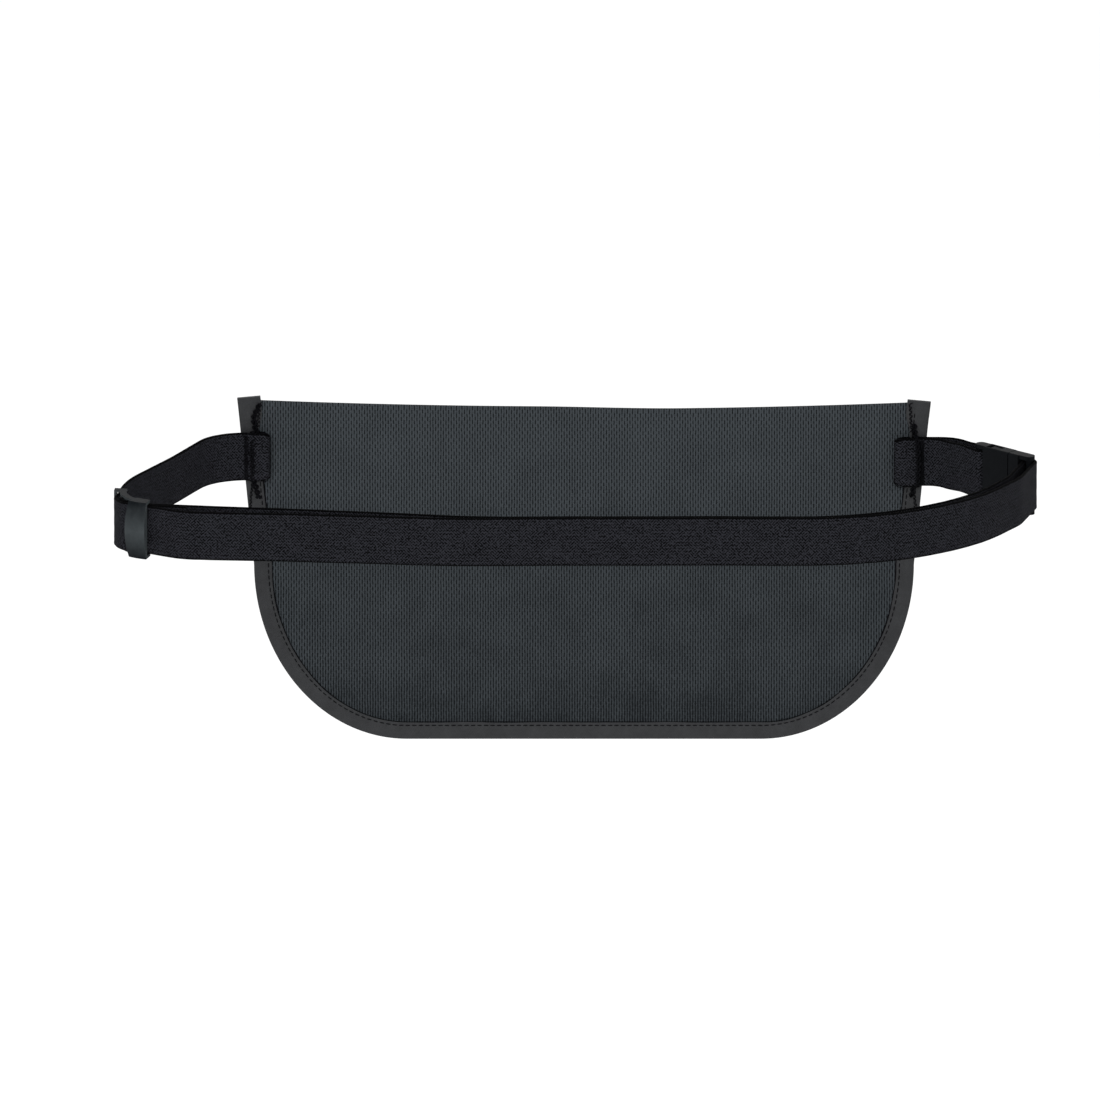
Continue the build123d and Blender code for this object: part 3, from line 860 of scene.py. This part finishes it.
female_far, female_near = loop_corners(FEMALE_BAR, 53.8, 2.6)
stub = bent_route(
    [plan(130.2, SEWN), plan(124.6, SEWN), plan(124.6, 3.9), plan(131.5, 3.9), plan(134.2, OVER),
     plan(142, OVER), female_far, female_near, plan(149.5, SEWN), plan(130.9, SEWN)],
    [1.25, 1.25, 3, 3, 8, 2.35, 2.35, 12])
elastic("elastic_stub", stub, ["stub_strap"])

# %% [markdown]
# ## What repeats along a line
# Stitches, bar tacks and zip teeth all repeat one small piece along a line. A Geometry Nodes tree
# does it: the line is cut at an even pitch, the piece is set at each cut with its length along the
# line and its top outwards, and a seeded tilt keeps the row from looking ruled. The result is made
# a plain mesh.

# %% The repeating tree


def repeat_tree():
    """The node tree that repeats a piece along a line."""
    tree = bpy.data.node_groups.new("Repeat along a line", "GeometryNodeTree")
    for label, kind, value in (("Line", "NodeSocketGeometry", None), ("Piece", "NodeSocketObject", None),
                               ("Pitch", "NodeSocketFloat", 0.003),
                               ("Outward", "NodeSocketVector", (0, 1, 0)),
                               ("Tilt", "NodeSocketFloat", 0.05), ("Seed", "NodeSocketInt", 1),
                               ("Finish", "NodeSocketMaterial", None)):
        made = tree.interface.new_socket(label, in_out="INPUT", socket_type=kind)
        if value is not None:
            made.default_value = value
    tree.interface.new_socket("Pieces", in_out="OUTPUT", socket_type="NodeSocketGeometry")
    add, link = tree.nodes.new, tree.links.new
    source, result = add("NodeGroupInput"), add("NodeGroupOutput")
    curve, cut = add("GeometryNodeMeshToCurve"), add("GeometryNodeResampleCurve")
    cut.mode = "LENGTH"
    link(source.outputs["Line"], curve.inputs[0])
    link(curve.outputs[0], cut.inputs["Curve"])
    link(source.outputs["Pitch"], cut.inputs["Length"])
    tangent, axes = add("GeometryNodeInputTangent"), add("FunctionNodeAxesToRotation")
    axes.primary_axis, axes.secondary_axis = "Z", "X"
    link(source.outputs["Outward"], axes.inputs["Primary Axis"])
    link(tangent.outputs[0], axes.inputs["Secondary Axis"])
    tilt, turn = add("FunctionNodeRandomValue"), add("FunctionNodeRotateRotation")
    tilt.data_type = "FLOAT"
    negative = add("ShaderNodeMath")
    negative.operation = "MULTIPLY"
    negative.inputs[1].default_value = -1.0
    link(source.outputs["Tilt"], negative.inputs[0])
    link(negative.outputs[0], tilt.inputs[2])
    link(source.outputs["Tilt"], tilt.inputs[3])
    link(source.outputs["Seed"], tilt.inputs["Seed"])
    spin = add("FunctionNodeAxisAngleToRotation")
    spin.inputs["Axis"].default_value = (0, 0, 1)
    link(tilt.outputs[1], spin.inputs["Angle"])
    turn.rotation_space = "LOCAL"
    link(axes.outputs[0], turn.inputs["Rotation"])
    link(spin.outputs[0], turn.inputs["Rotate By"])
    piece, place = add("GeometryNodeObjectInfo"), add("GeometryNodeInstanceOnPoints")
    link(source.outputs["Piece"], piece.inputs["Object"])
    link(cut.outputs[0], place.inputs["Points"])
    link(piece.outputs["Geometry"], place.inputs["Instance"])
    link(turn.outputs[0], place.inputs["Rotation"])
    real, paint = add("GeometryNodeRealizeInstances"), add("GeometryNodeSetMaterial")
    link(place.outputs[0], real.inputs[0])
    link(real.outputs[0], paint.inputs["Geometry"])
    link(source.outputs["Finish"], paint.inputs["Material"])
    link(paint.outputs[0], result.inputs["Pieces"])
    return tree


REPEAT = repeat_tree()


def repeat_along(name, lines, piece, pitch, outward, tilt, seed, slot_name, body, nodes=()):
    """A plain mesh of one small piece repeated along lines of points in millimetres."""
    mesh = bpy.data.meshes.new(name)
    verts, edges = [], []
    for line in lines:
        start = len(verts)
        verts += [tuple(Vector(p) * MM) for p in line]
        edges += [(start + i, start + i + 1) for i in range(len(line) - 1)]
    mesh.from_pydata(verts, edges, [])
    holder = bpy.data.objects.new(name + "_line", mesh)
    bpy.context.collection.objects.link(holder)
    modifier = holder.modifiers.new("repeat", "NODES")
    modifier.node_group = REPEAT
    values = {"Piece": piece, "Pitch": pitch * MM, "Outward": outward, "Tilt": tilt, "Seed": seed,
              "Finish": FINISHES[slot_name]}
    for item in REPEAT.interface.items_tree:
        if item.item_type == "SOCKET" and item.in_out == "INPUT" and item.name in values:
            modifier[item.identifier] = values[item.name]
    evaluated = holder.evaluated_get(bpy.context.evaluated_depsgraph_get())
    made = bpy.data.meshes.new_from_object(evaluated)
    made.name = name
    bpy.data.objects.remove(holder)
    made.polygons.foreach_set("use_smooth", [True] * len(made.polygons))
    row = bpy.data.objects.new(name, made)
    bpy.context.collection.objects.link(row)
    print(name, len(made.polygons), "faces")
    return settle(row, slot_name, body, nodes)


def small_tube(name, points, radius):
    """A short tube through points in millimetres, kept out of the scene: the piece to repeat."""
    rings = []
    for i, point in enumerate(points):
        along = (Vector(points[min(i + 1, len(points) - 1)]) - Vector(points[max(i - 1, 0)])).normalized()
        side = along.cross(Vector((0, 1, 0.001))).normalized()
        up = side.cross(along)
        thick = radius * (0.45 if i in (0, len(points) - 1) else 1.0)
        turns = [2 * pi * j / 5 for j in range(5)]
        rings.append([(Vector(point) + thick * (side * cos(a) + up * sin(a))) * MM for a in turns])
    mesh = bpy.data.meshes.new(name)
    verts, faces = ring_grid(rings)
    mesh.from_pydata([tuple(v) for v in verts], [], faces)
    tidy_normals(mesh)
    return bpy.data.objects.new(name, mesh)


# %% [markdown]
# ## Stitches
# One stitch is a short thread that dips into the cloth at both ends. Rows run round the binding on
# both faces, beside both zips on the front, and through the ends of the elastic, where they go to
# and fro as a bar tack.

# %% Stitch rows
stitch = small_tube("stitch", [(-0.95, 0, -0.12), (-0.7, 0, 0.06), (0, 0, 0.14), (0.7, 0, 0.06),
                               (0.95, 0, -0.12)], 0.17)
BODY_SIDE, ZIP_SIDE = (0, -1, 0), (0, 1, 0)
wearer_row = [(x + nx * STITCH_ROW, 56.47, z + nz * STITCH_ROW) for x, z, nx, nz in walk[5:-5]]
zip_row = [(x + nx * STITCH_ROW, 61.93, z + nz * STITCH_ROW) for x, z, nx, nz in walk[5:-5]]
repeat_along("binding_stitches_wearer", [wearer_row], stitch, 2.6, BODY_SIDE, 0.06, 3, "thread", "pouch")
repeat_along("binding_stitches_front", [zip_row], stitch, 2.6, ZIP_SIDE, 0.06, 4, "thread", "pouch")
zip_edges = []
for height, reach in ((9.0, 130.0), (-24.0, 126.5)):
    for side in (-1, 1):
        z = height + side * 6.0
        zip_edges.append([(-reach, 61.42, z), (reach, 61.42, z)])
repeat_along("zip_edge_stitches", zip_edges, stitch, 2.9, ZIP_SIDE, 0.05, 5, "thread", "pouch")

# %% Bar tacks


def to_and_fro(x, y, half_high, half_wide, step, seed):
    """A zigzag of thread between two heights, with an uneven swing."""
    points = []
    count = int(2 * half_high / step)
    for i in range(count + 1):
        side = 1 if i % 2 else -1
        jitter = 0.5 * noise.noise(Vector((i * 0.9, seed, 0)))
        points.append((x + side * half_wide * (1 + jitter), y, -half_high + i * step + jitter * 0.3))
    return points


tack = small_tube("tack_stitch", [(-0.75, 0, -0.05), (-0.4, 0, 0.08), (0.4, 0, 0.08), (0.75, 0, -0.05)], 0.16)
tack_left = [to_and_fro(-134.8, 53.50, 9.6, 0.8, 0.5, 1), to_and_fro(-133.6, 53.42, 9.6, 0.5, 0.6, 4)]
tack_right = [to_and_fro(134.2, 53.50, 9.4, 0.95, 0.45, 2), to_and_fro(132.9, 53.42, 9.4, 0.6, 0.55, 5),
              to_and_fro(135.3, 53.50, 9.4, 0.5, 0.6, 8)]
tack_left = [[(x, y, z + 1.2) for x, y, z in line] for line in tack_left]
tack_right = [[(x, y, z - 1.3) for x, y, z in line] for line in tack_right]
# Painted shade: a dark thread is run round each folded end of the elastic, where the fold's edges lie in
# shade.
fold_shade_outline_left = [[(-133.4, 53.3, 10.9), (-127.0, 52.9, 11.0), (-125.6, 54.2, 9.6), (-125.5, 54.2, -7.6),
              (-127.0, 52.9, -8.9), (-133.4, 53.3, -8.7)]]
fold_shade_outline_right = [[(132.6, 53.3, 8.5), (125.6, 53.0, 8.5), (124.0, 54.2, 7.2), (123.9, 54.2, -10.0),
               (125.6, 53.0, -11.4), (132.6, 53.3, -11.3)]]
seam_left, seam_right = [], []
for z, half_wide in ((17.0, 0.55), (-16.5, 0.45)):
    seam_left.append([(p[0] + 0.09 * (p[2] + z), p[1], p[2] + z)
                      for p in to_and_fro(-131.6, 56.28, 6.2, half_wide, 0.8, z)])
    seam_right.append([(p[0] - 0.05 * (p[2] + z), p[1], p[2] + z)
                       for p in to_and_fro(131.4, 56.28, 6.2, half_wide, 0.9, z + 3)])
repeat_along("fold_threads_left", fold_shade_outline_left, tack, 0.8, BODY_SIDE, 0.35, 11, "thread", "pouch")
repeat_along("fold_threads_right", fold_shade_outline_right, tack, 0.8, BODY_SIDE, 0.35, 12, "thread", "pouch")
repeat_along("seam_threads_left", seam_left, tack, 0.75, BODY_SIDE, 0.3, 9, "thread", "pouch")
repeat_along("seam_threads_right", seam_right, tack, 0.8, BODY_SIDE, 0.3, 10, "thread", "pouch")
repeat_along("bartack_threads_left", tack_left, tack, 0.7, BODY_SIDE, 0.25, 6, "thread", "pouch",
             ["bartack_left"])
repeat_along("bartack_threads_right", tack_right, tack, 0.62, BODY_SIDE, 0.3, 7, "thread", "pouch",
             ["bartack_right"])

# %% Twisted seam thread


def twisted(name, points, radius, swing):
    """Two strands wound round each other along a line of points in millimetres."""
    path = []
    for a, b in zip(points, points[1:]):
        count = max(int((Vector(b) - Vector(a)).length / 0.45), 1)
        path += [Vector(a).lerp(Vector(b), i / count) for i in range(count)]
    verts, faces = [], []
    for strand in (0, pi):
        rings = []
        for i, point in enumerate(path):
            angle = strand + i * 0.62
            uneven = 1 + 0.5 * noise.noise(Vector((i / 5, strand, 3)))
            middle = point + Vector((swing * uneven * sin(angle), swing * 0.5 * cos(angle), 0))
            thick = radius * uneven
            rings.append([(middle + thick * Vector((cos(a), sin(a), 0.4 * sin(a + angle)))) * MM
                          for a in (2 * pi * k / 6 for k in range(6))])
        strand_verts, strand_faces = ring_grid(rings)
        faces += [tuple(len(verts) + k for k in face) for face in strand_faces]
        verts += strand_verts
    add_piece(name, verts, faces, "thread", "pouch")


twisted("seam_twist_left", [(-129.8, 56.0, 22.5), (-132.0, 56.0, 17), (-131.4, 56.0, 12.2),
                            (-131.4, 52.9, 10.8), (-132.8, 52.3, 4.0), (-132.3, 52.3, -4.0),
                            (-132.6, 52.9, -8.8), (-132.0, 56.0, -10.2), (-130.0, 56.1, -17.5)], 0.55, 0.75)
twisted("seam_twist_right", [(131.9, 56.0, 14.0), (132.0, 56.0, 9.8), (133.2, 52.9, 8.4), (133.8, 52.3, 0.0),
                             (133.4, 52.9, -11.2), (131.6, 56.0, -12.6), (130.6, 56.1, -17.0)], 0.5, 0.6)
# Partly painted shade: this dark thread along the binding's inner edge is the seam thread and also stands for
# the shade in the groove there.
lower = [(x + nx * 7.15, 56.85, z + nz * 7.15) for x, z, nx, nz in walk if z < 6]
twisted("seam_twist_round", lower, 0.2, 0.14)
print("seam threads round", len(lower), "places")

# %% [markdown]
# ## Zips
# A nylon zip is two woven tapes, each with a coil sewn along its edge. Each turn of the coil is a
# loop that leans over the middle and locks between the other side's loops. The tapes are thin
# grids with a raised edge cord, and the loops repeat along the zip.

# %% Tapes and coils
ZIPS = (("main", 9.0, 118.0, 135.0), ("pocket", -24.0, 113.0, 131.9))


def zip_tape(zip_name, word, side, height, tape_half):
    """One tape: flat, with a cord woven along the coil's edge and a slight roll."""
    section = [(1.0, 60.14), (1.2, 60.10), (9.3, 60.12), (9.5, 60.3), (9.3, 60.56), (3.6, 60.56), (3.3, 60.6),
               (1.2, 60.58), (1.0, 60.5)]
    rings, uvs = [], []
    count = 150
    for i in range(count + 1):
        x = -tape_half + 2 * tape_half * i / count
        rings.append([Vector((x, y, height + side * n)) * MM for n, y in section])
        uvs += [(x * MM, side * n * MM) for n, y in section]
    add_piece(f"{zip_name}_tape_{word}", *ring_grid(rings), "zip_tape", "pouch",
              [f"{zip_name}_zip_tape_{word}"], uvs)


for zip_name, height, reach, tape_half in ZIPS:
    for word, side in (("upper", 1), ("lower", -1)):
        zip_tape(zip_name, word, side, height, tape_half)
        loop = small_tube(f"coil_turn_{word}", [
            (-0.35, side * 1.75, 0.28), (-0.32, side * 0.4, 0.22), (-0.1, -side * 0.35, 0.45),
            (0.1, -side * 0.35, 0.85), (0.32, side * 0.4, 1.08), (0.35, side * 1.75, 1.02),
            (0.1, side * 2.05, 0.7)], 0.23)
        phase = 0.0 if side > 0 else 0.6
        line = [(-reach + 0.5 + phase, 60.62, height), (reach - 3.2 + phase, 60.62, height)]
        repeat_along(f"{zip_name}_coil_{word}", [line], loop, 1.2, ZIP_SIDE, 0.0, 8, "zip_coil", "pouch",
                     [f"{zip_name}_zip_coil_{word}"])

# %% [markdown]
# ## Hard pieces
# The moulded and die-cast pieces keep the CAD model's shape. In a copy of each mesh the doubled
# corners and the flat faces are merged, and the edges are rounded by a fraction of a millimetre, as
# any moulding's are, so that they catch the light.

# %% Rounded copies


def rounded_copy(node, slot_name, body, width=0.22):
    """A copy of a CAD node with its edges rounded, standing for the node."""
    work = bmesh.new()
    work.from_mesh(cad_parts[node].data)
    bmesh.ops.remove_doubles(work, verts=work.verts, dist=0.002 * MM)
    bmesh.ops.dissolve_limit(work, angle_limit=radians(1.0), verts=work.verts, edges=work.edges)
    mesh = bpy.data.meshes.new(node + "_rounded")
    work.to_mesh(mesh)
    work.free()
    piece = bpy.data.objects.new(node + "_rounded", mesh)
    bpy.context.collection.objects.link(piece)
    bevel = piece.modifiers.new("rounded edges", "BEVEL")
    bevel.width = width * MM
    bevel.segments = 2
    bevel.limit_method = "ANGLE"
    bevel.angle_limit = radians(35)
    bevel.harden_normals = True
    mesh.polygons.foreach_set("use_smooth", [True] * len(mesh.polygons))
    mesh.set_sharp_from_angle(angle=radians(35))
    print(node, "rounded by", width, "mm")
    return settle(piece, slot_name, body, [node])


rounded_copy("strap_slider", "slider_plastic", "strap_slider_end", 0.35)
rounded_copy("buckle_female", "buckle_plastic", "pouch", 0.4)
rounded_copy("buckle_male", "buckle_plastic", "buckle_male_end", 0.4)
rounded_copy("buckle_prong_upper", "buckle_plastic", "prong_upper", 0.2)
rounded_copy("buckle_prong_lower", "buckle_plastic", "prong_lower", 0.2)
for zip_name in ("main", "pocket"):
    rounded_copy(f"{zip_name}_zip_slider", "zip_metal", f"{zip_name}_slider", 0.15)
    rounded_copy(f"{zip_name}_zip_puller", "zip_metal", f"{zip_name}_puller", 0.15)
    for stop in ("top_stop_upper", "top_stop_lower", "bottom_stop"):
        rounded_copy(f"{zip_name}_zip_{stop}", "zip_metal", "pouch", 0.2)
